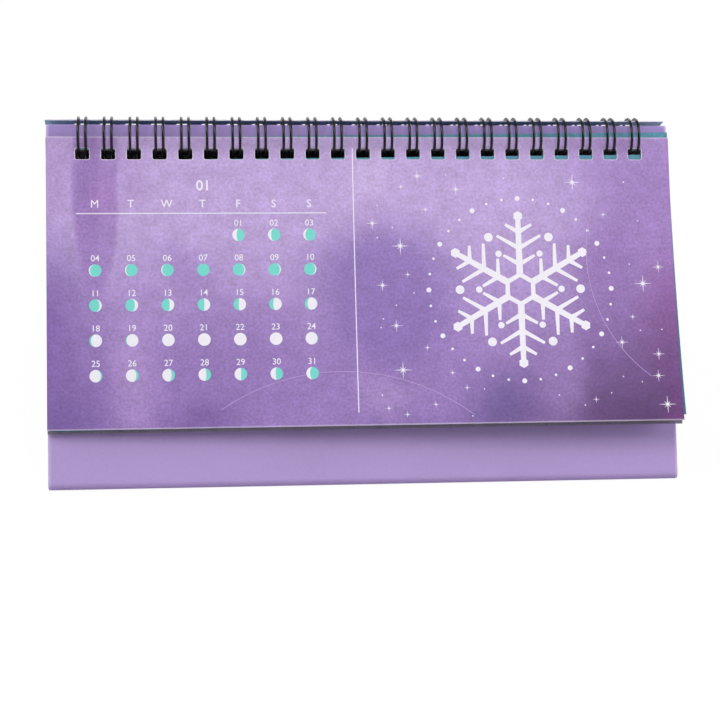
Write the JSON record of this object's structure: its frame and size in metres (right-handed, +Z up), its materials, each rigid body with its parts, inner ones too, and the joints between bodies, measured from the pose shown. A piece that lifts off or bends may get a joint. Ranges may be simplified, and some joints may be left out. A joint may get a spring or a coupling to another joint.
{
  "type": "desk calendar",
  "caption": "Flip-over desk calendar: leaves on a twin-loop wire that hangs over the folded top of a triangular board stand, with its cover turned to the back.",
  "frame": {"origin": "middle of the underside of the base, where the stand rests", "axes": "+X along the width, to the right of someone facing the front leaf; the front faces -Y; +Z up"},
  "size_m": [0.2115, 0.121, 0.1077],
  "materials": {
    "greyboard": "matt grey pulp board",
    "lilac_wrap": "lilac printed paper with a matt film",
    "dark_lining": "matt dark plain paper",
    "black_wire": "black nylon-coated steel wire",
    "leaf_paper": "satin paper printed all over in lavender and purple",
    "teal_leaf": "satin paper printed all over in teal",
    "teal_cover": "satin thin card printed in dark teal"
  },
  "bodies": {
    "stand": {"front_board": "greyboard", "back_board": "greyboard", "base_board_front": "greyboard", "base_board_rear": "greyboard", "cover_wrap": "lilac_wrap", "lining_sheet": "dark_lining", "wire_binding": "black_wire"},
    "leaf_stack": {"leaf_block": "leaf_paper", "second_leaf": "teal_leaf"},
    "front_leaf": {"front_leaf": "leaf_paper"},
    "turned_cover": {"turned_cover": "teal_cover"}
  },
  "joints": [
    {"name": "stack_lift", "type": "hinge", "parent": "stand", "child": "leaf_stack", "pos_m": [0, 0, 0.10063], "axis": [-1, 0, 0], "range_deg": [0, 22]},
    {"name": "front_leaf_lift", "type": "hinge", "parent": "leaf_stack", "child": "front_leaf", "pos_m": [0, 0, 0.10063], "axis": [-1, 0, 0], "range_deg": [0, 34]},
    {"name": "cover_lift", "type": "hinge", "parent": "stand", "child": "turned_cover", "pos_m": [0, 0, 0.10063], "axis": [1, 0, 0], "range_deg": [0, 30]}
  ]
}
